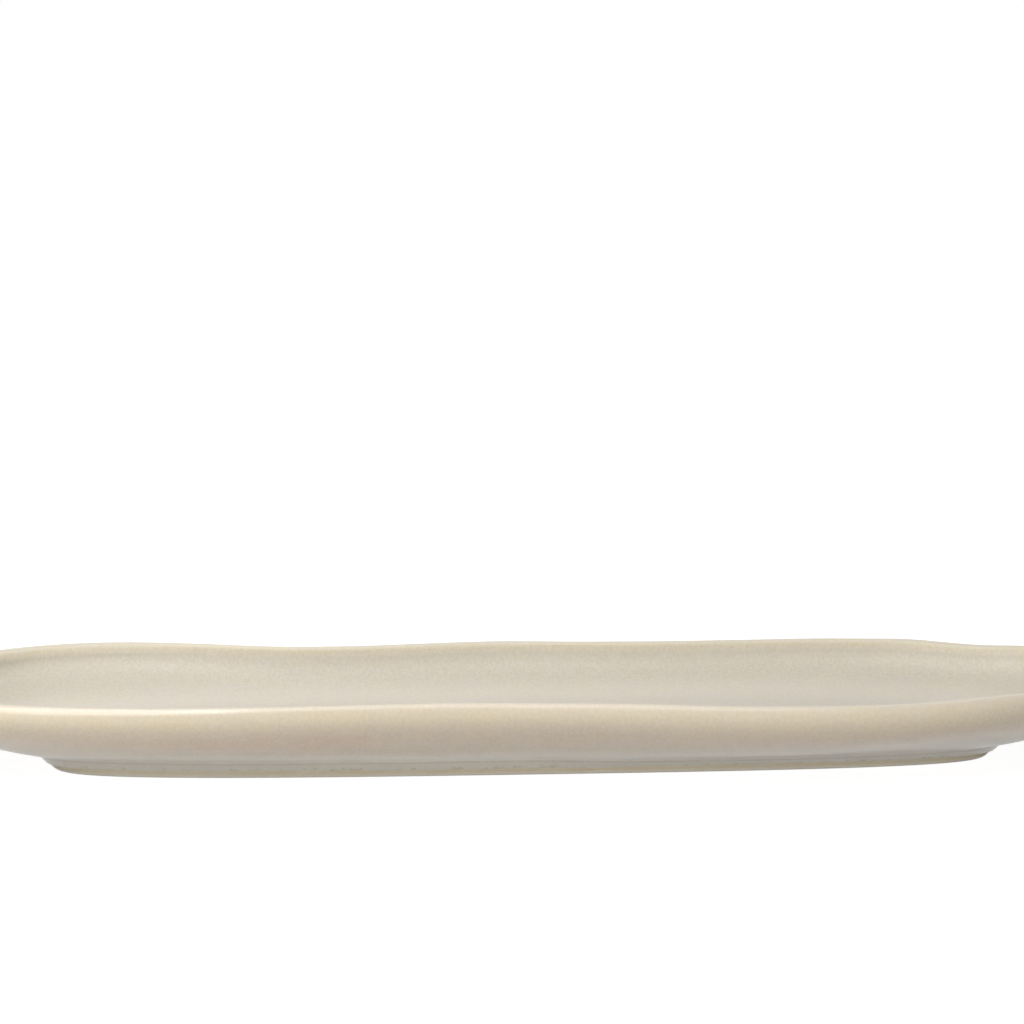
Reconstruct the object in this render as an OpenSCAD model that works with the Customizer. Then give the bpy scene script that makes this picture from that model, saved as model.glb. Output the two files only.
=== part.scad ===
// Long stoneware serving plate for asparagus, with a hand-waved rim.
// A thick clay body stands on a foot ring that is luted into a rebate under it. Three glaze coats cover the
// clay: one inside, one outside that laps over the crest of the rim and stops short of the table, and one
// in the hollow inside the foot ring. The edge that the plate stands on is bare clay.
// The origin lies on the table under the middle of the plate, with +X along its length and +Z up.

/* [Plate] */
// Length over the widest line, before the rim's waves
plate_length = 408; // [330:1:480]
// Width over the widest line, before the rim's waves
plate_width = 160; // [140:1:220]
// Height of the rim's crest above the table, before the rim's waves
plate_height = 27.8; // [25:0.1:40]
// Squareness of the rim seen from above: 2 is an ellipse, and more is squarer
rim_squareness = 4.2; // [3:0.1:5]

/* [Rim] */
// Drop from the crest to the widest line outside
lip_drop = 5; // [3:0.5:7]
// How far the crest lies in from the widest line
lip_inset = 3; // [2:0.1:4]
// How far the inner wall's top lies in from the crest
inner_lip_run = 2.5; // [1.5:0.1:4]
// Drop from the crest to the inner wall's top
inner_lip_drop = 4; // [2:0.5:6]
// The most that a wave swells the rim outwards
wave_push = 6.5; // [0:0.5:8]
// The most that a wave lifts the rim
wave_lift = 1.5; // [0:0.1:2]

/* [Wall and floor] */
// How far the rim hangs out past the foot's crease on the long sides
side_overhang = 21.5; // [16:0.5:26]
// How far the rim hangs out past the foot's crease at the two ends
end_overhang = 36.7; // [26:0.1:40]
// Angle that the outer wall's arc turns through, from the widest line down to the crease
outer_wall_turn = 46; // [35:1:60]
// How far the flat floor's edge lies in from the widest line on the long sides
floor_inset = 38; // [34:0.5:44]
// Height of the floor inside the plate above the table
floor_height = 10; // [9:0.5:12]

/* [Foot] */
// Height of the crease where the wall meets the foot
foot_height = 6.1; // [5:0.1:7.5]
// How far the foot's sloping flank runs in from the crease down to the table
flank_run = 5.3; // [4:0.1:7]
// Width of the foot's underside, from its flank to the hollow
stand_width = 5; // [4:0.1:6]
// Rounding of the foot's outer lower edge
stand_rounding = 1.2; // [0.4:0.1:1.6]
// How far the foot's inner side slopes in from the table up to the hollow's ceiling
inner_flank_run = 2.5; // [1:0.1:4]
// Height of the hollow's glazed ceiling above the table
hollow_height = 3.5; // [2.5:0.1:4]
// Squareness of the foot's and the floor's long sides seen from above: less bows them more
foot_side_squareness = 3; // [2.5:0.1:5]
// Squareness of the foot's and the floor's ends seen from above: more makes them flatter
foot_end_squareness = 5.9; // [4:0.1:8]
// How far the foot sits off the middle of the rim along the plate and across it
foot_shift_along = 1.3; // [0:0.1:4]
foot_shift_across = 0.6; // [0:0.1:3]
// Angle that the foot is turned through against the rim
foot_twist = 0.65; // [0:0.05:2]

/* [Glaze] */
// Thickness of each glaze coat
glaze_thickness = 0.6; // [0.4:0.05:1]
// Height above the table at which the outside coat stops on the foot's flank
glaze_line_height = 3; // [1.8:0.1:3.6]

/* [Hidden] */

// Stations round the plate, and steps along each stretch of the section
stations = 76;
flank_steps = 2;
outer_wall_steps = 8;
lip_steps = 4;
inner_lip_steps = 4;
inner_wall_steps = 8;
rounding_steps = 3;
// Steps of the inner lip that the outside coat laps over, past the crest
lap_steps = 2;
// How late the wall takes on the foot's outline on its way down: 1 is evenly, and more is later
foot_lateness = 1.7;
// How far the foot is made too long before its underside is ground flat
overrun = 1;

// Waves of the rim, counter-clockwise from the right end seen from above: the wave's middle and its spread
// to each side as shares of one turn, its swell as a share of wave_push and its lift as one of wave_lift
rim_wave_shares = [
    [0.082, 0.025, -0.31, -0.80],
    [0.182, 0.084, -0.26, -0.38],
    [0.334, 0.104, -0.61, -0.61],
    [0.392, 0.061,  1.00,  0.97],
    [0.714, 0.098, -0.53,  0.31],
    [0.868, 0.094,  0.94, -0.69],
    [0.912, 0.043, -0.18,  0.86],
];
wave_ones = [for (wave = rim_wave_shares) 1];

half_length = plate_length / 2;
half_width = plate_width / 2;
// Run at the ends for each millimetre of run at the long sides, on the wall and the floor
end_stretch = end_overhang / side_overhang;
// Levels under this height belong to the foot
foot_top = (foot_height + floor_height) / 2;

// Inset at the ends for one at the long sides: stretched on the wall and the floor, and even on the foot
function end_inset(inset, height) =
    inset > side_overhang && height < foot_top ? end_overhang + inset - side_overhang : inset * end_stretch;

// How strongly one wave acts at a place round the rim: 1 at its middle, and nothing past its spread
function swell(turn, wave) =
    let (away = abs((turn - wave[0] + 1.5) % 1 - 0.5) / wave[1])
    away < 1 ? (1 + cos(180 * away)) / 2 : 0;

// All waves together at a place round the rim, as a share of wave_push or of wave_lift
function push_share(turn) = [for (wave = rim_wave_shares) swell(turn, wave) * wave[2]] * wave_ones;
function lift_share(turn) = [for (wave = rim_wave_shares) swell(turn, wave) * wave[3]] * wave_ones;

// What is left of the waves at an inset from the widest line: all at the rim, nothing from the crease on
function wave_left_share(inset) =
    let (way = min(max(inset / side_overhang, 0), 1))
    1 - way * way * (3 - 2 * way);

// One point of the rim's rounded rectangle, as shares of its half sizes a and b, and the way out from it
function outline_shares(angle, a, b) =
    let (
        aim = [cos(angle) / sqrt(a), sin(angle) / sqrt(b)],
        reach = pow(pow(abs(aim[0]), rim_squareness) + pow(abs(aim[1]), rim_squareness), 1 / rim_squareness)
    )
    aim / reach;
function outline_normal(shares, a, b) =
    let (slope = [for (i = [0:1])
        sign(shares[i]) * pow(abs(shares[i]), rim_squareness - 1) / [a, b][i]])
    slope / norm(slope);

// The same share on an outline of another squareness
function resquared(share, squareness) = sign(share) * pow(abs(share), rim_squareness / squareness);
function turned(point, angle) =
    [point[0] * cos(angle) - point[1] * sin(angle), point[0] * sin(angle) + point[1] * cos(angle)];

// One level of the plate: the points all round at an inset from the widest line and a height
function waved_ring(inset, height) =
    let (
        left = wave_left_share(inset),
        foot = pow(1 - left, foot_lateness),
        a = half_length - end_inset(inset, height),
        b = half_width - inset,
        side_squareness = rim_squareness + (foot_side_squareness - rim_squareness) * foot,
        end_squareness = rim_squareness + (foot_end_squareness - rim_squareness) * foot,
        shift = [foot_shift_along, foot_shift_across] * foot
    )
    [for (i = [0:stations - 1])
        let (
            turn = i / stations,
            shares = outline_shares(360 * turn, a, b),
            out = outline_normal(shares, a, b) * wave_push * push_share(turn) * left,
            point = [a * resquared(shares[0], side_squareness), b * resquared(shares[1], end_squareness)],
            place = turned(point + out, foot_twist * foot) + shift
        )
        [place[0], place[1], height + wave_lift * lift_share(turn) * left]];

// The waves pull the widest line off centre, so every level is moved back by this much
function middle_of(values) = (max(values) + min(values)) / 2;
widest_ring = waved_ring(0, 0);
middle = [for (i = [0:1]) middle_of([for (point = widest_ring) point[i]])];

function ring(level) =
    [for (point = waved_ring(level[0], level[1])) [point[0] - middle[0], point[1] - middle[1], point[2]]];

// The finished section, as insets and heights, from the glaze line on the foot up over the rim to the floor
function flank_inset(height) = side_overhang + flank_run * (1 - height / foot_height);
widest_height = plate_height - lip_drop;
inner_wall_top = plate_height - inner_lip_drop;
inner_wall_inset = lip_inset + inner_lip_run;

flank_levels = [for (i = [0:flank_steps - 1])
    let (height = glaze_line_height + (foot_height - glaze_line_height) * i / flank_steps)
    [flank_inset(height), height]];
outer_wall_levels = [for (i = [0:outer_wall_steps - 1])
    let (angle = outer_wall_turn * (1 - i / outer_wall_steps))
    [side_overhang * (1 - cos(angle)) / (1 - cos(outer_wall_turn)),
        widest_height - (widest_height - foot_height) * sin(angle) / sin(outer_wall_turn)]];
lip_levels = [for (i = [0:lip_steps - 1])
    let (angle = 90 * i / lip_steps)
    [lip_inset * (1 - cos(angle)), widest_height + lip_drop * sin(angle)]];
inner_lip_levels = [for (i = [0:inner_lip_steps - 1])
    let (angle = 90 * i / inner_lip_steps)
    [lip_inset + inner_lip_run * sin(angle), inner_wall_top + inner_lip_drop * cos(angle)]];
inner_wall_levels = [for (i = [0:inner_wall_steps])
    let (angle = 90 * i / inner_wall_steps)
    [floor_inset - (floor_inset - inner_wall_inset) * cos(angle),
        inner_wall_top - (inner_wall_top - floor_height) * sin(angle)]];
finished = concat(flank_levels, outer_wall_levels, lip_levels, inner_lip_levels, inner_wall_levels);

// Places in the section of the crease, of the seam between the outside and the inside coat and of the floor
crease_at = flank_steps;
seam_at = flank_steps + outer_wall_steps + lip_steps + lap_steps;
floor_at = len(finished) - 1;

// The clay's section lies one coat of glaze behind the finished one
clay = [for (i = [0:floor_at])
    let (along = finished[min(i + 1, floor_at)] - finished[max(i - 1, 0)])
    finished[i] + [along[1], -along[0]] / norm(along) * glaze_thickness];
function stretch(levels, first, last) = [for (i = [first:last]) levels[i]];

// The foot below the glaze line, and the rebate under the body that takes the foot ring
seat_height = clay[crease_at][1];
clay_slope = flank_run / foot_height;
foot_corner_inset = clay[0][0] + clay[0][1] * clay_slope;
stand_inner_inset = foot_corner_inset + stand_width;
hollow_inset = stand_inner_inset + inner_flank_run;
ceiling_height = hollow_height + glaze_thickness;
ceiling_edge_inset = stand_inner_inset + inner_flank_run * hollow_height / ceiling_height;

// The rounding leaves the flank and comes down on the foot's underside as one smooth curve
rounding_start = [foot_corner_inset - stand_rounding * clay_slope, stand_rounding];
rounding_corner = [foot_corner_inset, 0];
rounding_end = [foot_corner_inset + stand_rounding, 0];
rounding_levels = [for (i = [0:rounding_steps])
    let (way = i / rounding_steps, back = 1 - way)
    rounding_end * back * back + rounding_corner * 2 * way * back + rounding_start * way * way];
foot_outer_levels = concat(
    [[rounding_end[0], -overrun]], rounding_levels, stretch(clay, 0, crease_at));
foot_inner_levels = [
    [stand_inner_inset, -overrun], [stand_inner_inset, 0], [ceiling_edge_inset, hollow_height],
    [hollow_inset, ceiling_height], [hollow_inset, seat_height]];

// Faces between two rings of points, where first and next are the numbers of each ring's first point
function band(first, next) = [for (i = [0:stations - 1])
    let (j = (i + 1) % stations)
    each [[first + i, next + i, next + j], [first + i, next + j, first + j]]];
function skin(count, first) = [for (i = [0:count - 2])
    each band(first + i * stations, first + (i + 1) * stations)];
function cap(first) = [for (i = [0:stations - 1]) first + i];
function flipped(faces) = [for (face = faces) [for (i = [len(face) - 1:-1:0]) face[i]]];
function rings(levels) = [for (level = levels) each ring(level)];

// Solid between a flat bottom at the first level and a flat top at the last one
module plug(levels) {
    last = (len(levels) - 1) * stations;
    polyhedron(rings(levels), concat([cap(0)], skin(len(levels), 0), flipped([cap(last)])));
}

// Solid between an outer and an inner skin that runs all round, joined by a band at each end
module hoop(outer, inner) {
    inner_first = len(outer) * stations;
    outer_last = inner_first - stations;
    inner_last = inner_first + (len(inner) - 1) * stations;
    polyhedron(concat(rings(outer), rings(inner)), concat(
        skin(len(outer), 0), flipped(skin(len(inner), inner_first)),
        band(inner_first, 0), band(outer_last, inner_last)));
}

// Solid between an upper and a lower skin, each closed by a flat middle and joined by a band at the edge
module dish(upper, lower) {
    lower_first = len(upper) * stations;
    upper_last = lower_first - stations;
    lower_last = lower_first + (len(lower) - 1) * stations;
    polyhedron(concat(rings(upper), rings(lower)), concat(
        skin(len(upper), 0), flipped([cap(upper_last)]),
        flipped(skin(len(lower), lower_first)), [cap(lower_last)],
        band(lower_first, 0)));
}

// Clay body: floor, waved wall and rim, with the rebate for the foot ring under it
module stoneware_body() {
    color("#b9ab97")
        plug(concat(
            [[hollow_inset, ceiling_height], [hollow_inset, seat_height]],
            stretch(clay, crease_at, floor_at)));
}

// Clay ring let into the rebate, with its underside ground flat
module foot_ring() {
    color("#c3b5a2")
        difference() {
            hoop(foot_outer_levels, foot_inner_levels);
            translate([-half_length, -half_width, -2 * overrun])
                cube([plate_length, plate_width, 2 * overrun]);
        }
}

// Cream coat on the floor and the inner wall
module inside_glaze() {
    color("#d7d0c0")
        dish(stretch(finished, seam_at, floor_at), stretch(clay, seam_at, floor_at));
}

// Coat from the glaze line on the foot up the outer wall and over the crest
module outside_glaze() {
    color("#cbbfa8")
        hoop(stretch(finished, 0, seam_at), stretch(clay, 0, seam_at));
}

// Coat on the ceiling of the hollow, inside the foot ring
module underside_glaze() {
    color("#d2cbbb")
        plug([[ceiling_edge_inset, hollow_height], [hollow_inset, ceiling_height]]);
}

stoneware_body();
foot_ring();
inside_glaze();
outside_glaze();
underside_glaze();
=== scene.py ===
"""Looks of a long stoneware plate: its clay, its glaze coats, the studio and the camera.

The plate is one section, given as insets from the widest line and heights above the table, that is
carried round a waved outline. Every piece is a closed skin on that form, worked out as whole arrays.
"""

import logging
import math
from dataclasses import dataclass, field
from enum import Enum

import bpy
import numpy as np
from mathutils import Matrix, Vector


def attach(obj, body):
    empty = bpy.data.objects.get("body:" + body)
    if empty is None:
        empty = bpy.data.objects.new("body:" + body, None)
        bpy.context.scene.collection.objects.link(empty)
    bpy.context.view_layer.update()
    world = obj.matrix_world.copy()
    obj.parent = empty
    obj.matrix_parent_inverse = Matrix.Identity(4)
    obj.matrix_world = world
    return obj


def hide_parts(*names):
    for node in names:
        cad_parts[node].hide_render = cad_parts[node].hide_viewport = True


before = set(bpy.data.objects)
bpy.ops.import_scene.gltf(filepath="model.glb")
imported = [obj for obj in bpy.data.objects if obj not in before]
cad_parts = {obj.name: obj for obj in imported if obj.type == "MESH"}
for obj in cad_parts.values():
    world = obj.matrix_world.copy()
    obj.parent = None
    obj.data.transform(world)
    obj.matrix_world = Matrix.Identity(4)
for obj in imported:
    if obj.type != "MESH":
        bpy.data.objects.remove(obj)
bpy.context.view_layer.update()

IMAGE_SIDE = 1024
BODY = "root"
FROM_CREST = "from_crest"

FULL = 255.0
SRGB_TOE, SRGB_TOE_SLOPE = 0.04045, 12.92
SRGB_OFFSET, SRGB_POWER = 0.055, 2.4
SHORTEST = 1e-12
QUARTER = math.pi / 2

Colour = tuple[float, float, float, float]
Tones = tuple[Colour, Colour]
Pair = tuple[float, float]
Triple = tuple[float, float, float]
Rows = np.ndarray
Inputs = dict[str | int, object]

log = logging.getLogger("plate")


def srgb(red: int, green: int, blue: int) -> Colour:
    """Turns a screen colour into the linear one that shaders take.

    Args:
        red: Red from 0 to 255.
        green: Green from 0 to 255.
        blue: Blue from 0 to 255.

    Returns:
        The linear colour with full opacity.
    """
    share = np.array([red, green, blue]) / FULL
    curve = ((share + SRGB_OFFSET) / (1.0 + SRGB_OFFSET)) ** SRGB_POWER
    return (*np.where(share <= SRGB_TOE, share / SRGB_TOE_SLOPE, curve).tolist(), 1.0)


def tone(red: float, green: float, blue: float) -> Colour:
    """Gives a tone to shade a colour with: below a half darkens it, and above a half lightens it."""
    return (red, green, blue, 1.0)


def grey(share: float) -> Colour:
    """Gives a tone without a hue."""
    return tone(share, share, share)


MID_TONE = grey(0.5)


def smooth_step(share: np.ndarray) -> np.ndarray:
    """Step from 0 to 1 with soft ends: three squares less two cubes of a share that is clipped."""
    kept = np.clip(share, 0.0, 1.0)
    return kept * kept * (3.0 - 2.0 * kept)


class Topology(Enum):
    """How the rows of a skin close: round like a tyre, or over two poles like a ball."""

    TYRE = "tyre"
    BALL = "ball"


@dataclass(frozen=True)
class RimWave:
    """One wave of the rim: place and spread in turns, swell outwards and lift in metres."""

    middle: float
    spread: float
    push: float
    lift: float

    def strength(self, turn: np.ndarray) -> np.ndarray:
        """Strength at places in turns: a raised cosine, 1 at the wave's middle and 0 past its spread."""
        away = np.abs((turn - self.middle + 0.5) % 1.0 - 0.5) / self.spread
        return 0.5 + 0.5 * np.cos(np.pi * np.minimum(away, 1.0))


RIM_WAVES = (
    RimWave(0.082, 0.025, -0.002015, -0.001200),
    RimWave(0.182, 0.084, -0.001690, -0.000570),
    RimWave(0.334, 0.104, -0.003965, -0.000915),
    RimWave(0.392, 0.061, 0.006500, 0.001455),
    RimWave(0.714, 0.098, -0.003445, 0.000465),
    RimWave(0.868, 0.094, 0.006110, -0.001035),
    RimWave(0.912, 0.043, -0.001170, 0.001290),
)

# Where glaze pooled: a dip of the outside coat's crease, which pushes nothing outwards.
GLAZE_POOL = RimWave(0.875, 0.125, 0.0, -0.0010)


@dataclass(frozen=True)
class Ripple:
    """One slow wave of a hand-formed surface: its share, its radians for each metre and its phase."""

    share: float
    pace: Triple
    phase: float


HAND_RIPPLES = (
    Ripple(1.0, (97.0, 31.0, 0.0), 0.4),
    Ripple(0.8, (-61.0, 118.0, 90.0), 1.9),
    Ripple(0.6, (171.0, -83.0, 140.0), 3.1),
    Ripple(0.4, (43.0, 203.0, -210.0), 5.0),
)

# Waves of the glaze line as share, count round the plate and phase, and its beads as count and phase.
LINE_WAVES = ((1.0, 7, 0.6), (0.7, 19, 2.2), (0.5, 41, 4.0))
LINE_BEADS = ((97, 1.0), (61, 0.3))


@dataclass(frozen=True)
class PlateForm:
    """The plate's form: driving sizes in metres, as in its solids, and the surfaces they give.

    The foot's squareness is a pair for its long sides and its ends, and its shift one for X and Y.
    """

    length: float = 0.408
    width: float = 0.160
    height: float = 0.0278
    rim_squareness: float = 4.2
    foot_squareness: Pair = (3.0, 5.9)
    foot_shift: Pair = (0.0013, 0.0006)
    foot_twist: float = math.radians(0.65)
    foot_lateness: float = 1.7
    lip_drop: float = 0.005
    lip_inset: float = 0.003
    inner_lip_run: float = 0.0025
    inner_lip_drop: float = 0.004
    side_overhang: float = 0.0215
    end_overhang: float = 0.0367
    wall_turn: float = math.radians(46.0)
    floor_inset: float = 0.038
    floor_height: float = 0.010
    foot_height: float = 0.0061
    flank_run: float = 0.0053
    stand_width: float = 0.005
    stand_rounding: float = 0.0012
    inner_flank_run: float = 0.0025
    hollow_height: float = 0.0035
    glaze: float = 0.0006
    glaze_line: float = 0.0030
    lap_turn: float = math.radians(45.0)
    crease_fillet: float = 0.0003
    pool_rise: float = 0.007
    edge_roll: float = 0.8
    line_waver: float = 0.00010
    line_beading: float = 0.00007
    ripple: float = 0.00010
    stations: int = 960
    solid_stations: int = 76

    @property
    def turns(self) -> np.ndarray:
        """Places of the stations round the plate, in turns."""
        return np.arange(self.stations) / self.stations

    def outline(self, inset: np.ndarray, height: np.ndarray, turns: np.ndarray) -> np.ndarray:
        """Carries levels of the section round the waved outline.

        The outline is a superellipse whose half sizes shrink with the inset, faster at the ends but for the
        foot. The rim's waves push it along its own normal and lift it, and fade by a smooth step from rim
        to crease. On the way down it takes on the foot's outline: bowed sides, flat ends, a shift and
        a turn.

        Args:
            inset: Distance in from the widest line, as (levels, 1) or (levels, stations).
            height: Height above the table, of the same shape.
            turns: Places round the plate, in turns.

        Returns:
            Points as (levels, stations, 3), before they are centred.
        """
        way = smooth_step(inset / self.side_overhang)
        left, foot = 1.0 - way, way ** self.foot_lateness
        stretched = inset * self.end_overhang / self.side_overhang
        even = self.end_overhang + inset - self.side_overhang
        on_foot = (inset > self.side_overhang) & (height < (self.foot_height + self.floor_height) / 2)
        end_inset = np.where(on_foot, even, stretched)
        half = np.stack([self.length / 2 - end_inset, self.width / 2 - inset], axis=-1)
        angle = 2.0 * np.pi * turns
        aim = np.stack([np.cos(angle), np.sin(angle)], axis=-1) / np.sqrt(half)
        power = self.rim_squareness
        share = aim / (np.abs(aim) ** power).sum(axis=-1, keepdims=True) ** (1.0 / power)
        normal = np.sign(share) * np.abs(share) ** (power - 1.0) / half
        normal /= np.linalg.norm(normal, axis=-1, keepdims=True)
        push = sum(wave.push * wave.strength(turns) for wave in RIM_WAVES) * left
        lift = sum(wave.lift * wave.strength(turns) for wave in RIM_WAVES) * left
        bowed = power + (np.array(self.foot_squareness) - power) * foot[..., None]
        flat = half * np.sign(share) * np.abs(share) ** (power / bowed) + normal * push[..., None]
        x, y = flat[..., 0], flat[..., 1]
        turn = self.foot_twist * foot
        return np.stack([
            x * np.cos(turn) - y * np.sin(turn) + self.foot_shift[0] * foot,
            x * np.sin(turn) + y * np.cos(turn) + self.foot_shift[1] * foot,
            height + lift], axis=-1)

    def middle(self) -> np.ndarray:
        """Middle of the solids' widest line, which the waves pull off centre.

        Returns:
            A point on the table.
        """
        turns = np.arange(self.solid_stations) / self.solid_stations
        widest = self.outline(np.zeros((1, 1)), np.zeros((1, 1)), turns)[0]
        centre = (widest.max(axis=0) + widest.min(axis=0)) / 2
        return np.array([centre[0], centre[1], 0.0])

    def rows(self, levels: np.ndarray) -> Rows:
        """Carries levels, (levels, 2) or (levels, stations, 2) where they vary, round the plate."""
        spread = levels if levels.ndim == 3 else levels[:, None, :]
        return self.outline(spread[..., 0], spread[..., 1], self.turns) - self.middle()

    def disc(self, edge: np.ndarray, count: int) -> Rows:
        """Fills a flat level with smaller and smaller copies of its outline.

        Args:
            edge: The outline as (stations, 3).
            count: Number of rows, without the edge.

        Returns:
            Rows from just inside the edge towards the middle, as (count, stations, 3).
        """
        shift = np.array([self.foot_shift[0], self.foot_shift[1], edge[0, 2]])
        centre = shift - self.middle()
        share = np.linspace(1.0, 0.0, count + 2)[1:-1, None, None]
        return centre + (edge - centre) * share

    def hand_ripple(self, rows: Rows) -> Rows:
        """Moves a skin in and out by a sum of slow sine waves, as a hand-formed surface has.

        Args:
            rows: Points as (levels, stations, 3), with the outside on the right of rising rows.

        Returns:
            The rippled points.
        """
        around = np.roll(rows, -1, axis=1) - np.roll(rows, 1, axis=1)
        along = np.gradient(rows, axis=0)
        normal = np.cross(around, along)
        normal /= np.maximum(np.linalg.norm(normal, axis=-1, keepdims=True), SHORTEST)
        wave = sum(part.share * np.sin(rows @ np.array(part.pace) + part.phase) for part in HAND_RIPPLES)
        whole = sum(part.share for part in HAND_RIPPLES)
        return rows + normal * (self.ripple * wave / whole)[..., None]


def arc(count: int, turn: float = QUARTER) -> np.ndarray:
    """Angles from zero to a turn, both ends included."""
    return np.linspace(0.0, turn, count)


def bend(start: np.ndarray, corner: np.ndarray, end: np.ndarray, count: int) -> np.ndarray:
    """Rounds a corner with a parabola, a mean of three points whose weights shift along the way.

    Args:
        start: Where the bend begins, as (2,) or (stations, 2).
        corner: The sharp corner.
        end: Where the bend ends.
        count: Number of levels.

    Returns:
        Levels from start to end.
    """
    way = np.linspace(0.0, 1.0, count).reshape(-1, *[1] * start.ndim)
    return start * (1.0 - way) ** 2 + corner * 2.0 * way * (1.0 - way) + end * way ** 2


@dataclass(frozen=True)
class Section:
    """The plate's section as insets and heights, from the crease up over the rim to the floor."""

    form: PlateForm

    @property
    def widest(self) -> np.ndarray:
        """Inset and height of the widest line."""
        return np.array([0.0, self.form.height - self.form.lip_drop])

    @property
    def crest(self) -> np.ndarray:
        """Inset and height of the crest."""
        return np.array([self.form.lip_inset, self.form.height])

    @property
    def brink(self) -> np.ndarray:
        """Inset and height of the line at which the inner lip turns into the inner wall."""
        return self.crest + np.array([self.form.inner_lip_run, -self.form.inner_lip_drop])

    @staticmethod
    def curve(start: np.ndarray, end: np.ndarray, angle: np.ndarray, turn: float = QUARTER) -> np.ndarray:
        """Follows an ellipse that leaves its first point straight up or down.

        Args:
            start: Inset and height of the first point.
            end: Inset and height of the last point.
            angle: Angles of the levels, with 0 at the first point.
            turn: Angle at the last point.

        Returns:
            Levels as (levels, 2).
        """
        inset, height = (1.0 - np.cos(angle)) / (1.0 - math.cos(turn)), np.sin(angle) / math.sin(turn)
        return start + (end - start) * np.stack([inset, height], axis=-1)

    def wall(self, count: int) -> np.ndarray:
        """Outer wall from the crease up to the widest line."""
        crease, turn = np.array([self.form.side_overhang, self.form.foot_height]), self.form.wall_turn
        return self.curve(self.widest, crease, arc(count, turn)[::-1], turn)

    def lip(self, count: int) -> np.ndarray:
        """Outer lip from the widest line up to the crest."""
        return self.curve(self.widest, self.crest, arc(count))

    def inner_lip(self, angle: np.ndarray) -> np.ndarray:
        """Inner lip from the crest down to the inner wall, at given angles from the crest."""
        return self.curve(self.brink, self.crest, QUARTER - angle)

    def inner_wall(self, count: int) -> np.ndarray:
        """Inner wall from the lip down to the floor's edge."""
        floor_edge = np.array([self.form.floor_inset, self.form.floor_height])
        return self.curve(self.brink, floor_edge, arc(count))

    def outside(self, count: int) -> np.ndarray:
        """Outside coat from the crease to the seam, with fewer levels on its lip than on its wall."""
        lap = self.inner_lip(arc(count // 4, self.form.lap_turn))
        return np.concatenate([self.wall(count)[:-1], self.lip(count // 2)[:-1], lap])

    def inside(self, count: int) -> np.ndarray:
        """Inside coat from the seam down to the floor's edge, with fewer levels on its lip."""
        angle = np.linspace(self.form.lap_turn, QUARTER, count // 4)
        return np.concatenate([self.inner_lip(angle)[:-1], self.inner_wall(count)])

    @staticmethod
    def behind(levels: np.ndarray, depth: float) -> np.ndarray:
        """Levels that lie a depth behind others, along the section's own normals.

        Args:
            levels: Levels in order from the crease over the rim to the floor.
            depth: How far behind the surface.

        Returns:
            The offset levels.
        """
        along = np.gradient(levels, axis=0)
        along /= np.linalg.norm(along, axis=-1, keepdims=True)
        return levels + np.stack([along[:, 1], -along[:, 0]], axis=-1) * depth

    @staticmethod
    def from_crest(levels: np.ndarray) -> np.ndarray:
        """Length along the section from the crest, positive outside and negative inside.

        Args:
            levels: Levels as (levels, 2), in order from the outside to the inside.

        Returns:
            One length for each level.
        """
        step = np.linalg.norm(np.diff(levels, axis=0), axis=-1)
        run = np.concatenate([[0.0], np.cumsum(step)])
        return run[np.argmax(levels[:, 1])] - run


@dataclass
class Skin:
    """A closed skin: rows of points all round, and each row's length from the crest as (levels, 1)."""

    name: str
    rows: Rows
    from_crest: np.ndarray
    topology: Topology
    crease_angle: float = math.radians(42.0)

    def faces(self) -> tuple[np.ndarray, np.ndarray]:
        """Works out the faces as corner numbers.

        Returns:
            Quads as (count, 4), and triangles at the poles as (count, 3), which a tyre has none of.
        """
        count, stations = self.rows.shape[:2]
        closing = 0 if self.topology is Topology.TYRE else 1
        row = np.arange(count - closing)[:, None]
        station = np.arange(stations)[None, :]
        above, beside = (row + 1) % count, (station + 1) % stations
        quads = np.stack([
            row * stations + station, row * stations + beside,
            above * stations + beside, above * stations + station], axis=-1).reshape(-1, 4)
        if self.topology is Topology.TYRE:
            return quads, np.zeros((0, 3), dtype=int)
        first, last = count * stations, count * stations + 1
        low = np.arange(stations)
        low_next = (low + 1) % stations
        high, high_next = low + (count - 1) * stations, low_next + (count - 1) * stations
        bottom = np.stack([np.full(stations, first), low_next, low], axis=-1)
        top = np.stack([high, high_next, np.full(stations, last)], axis=-1)
        return quads, np.concatenate([bottom, top])

    def build(self) -> bpy.types.Object:
        """Puts the skin into a mesh object at the origin.

        Returns:
            The new object, smooth but for its true edges.
        """
        points = self.rows.reshape(-1, 3)
        lengths = np.broadcast_to(self.from_crest, self.rows.shape[:2]).reshape(-1)
        if self.topology is Topology.BALL:
            points = np.concatenate([points, self.rows[:1].mean(axis=1), self.rows[-1:].mean(axis=1)])
            lengths = np.concatenate([lengths, self.from_crest[0, :1], self.from_crest[-1, :1]])
        quads, tris = self.faces()
        mesh = bpy.data.meshes.new(self.name)
        mesh.from_pydata(points.tolist(), [], quads.tolist() + tris.tolist())
        mesh.shade_smooth()
        mesh.validate()
        mesh.set_sharp_from_angle(angle=self.crease_angle)
        marks = mesh.attributes.new(FROM_CREST, "FLOAT", "POINT")
        marks.data.foreach_set("value", lengths.astype(np.float32))
        piece = bpy.data.objects.new(self.name, mesh)
        bpy.context.scene.collection.objects.link(piece)
        return piece


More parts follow.
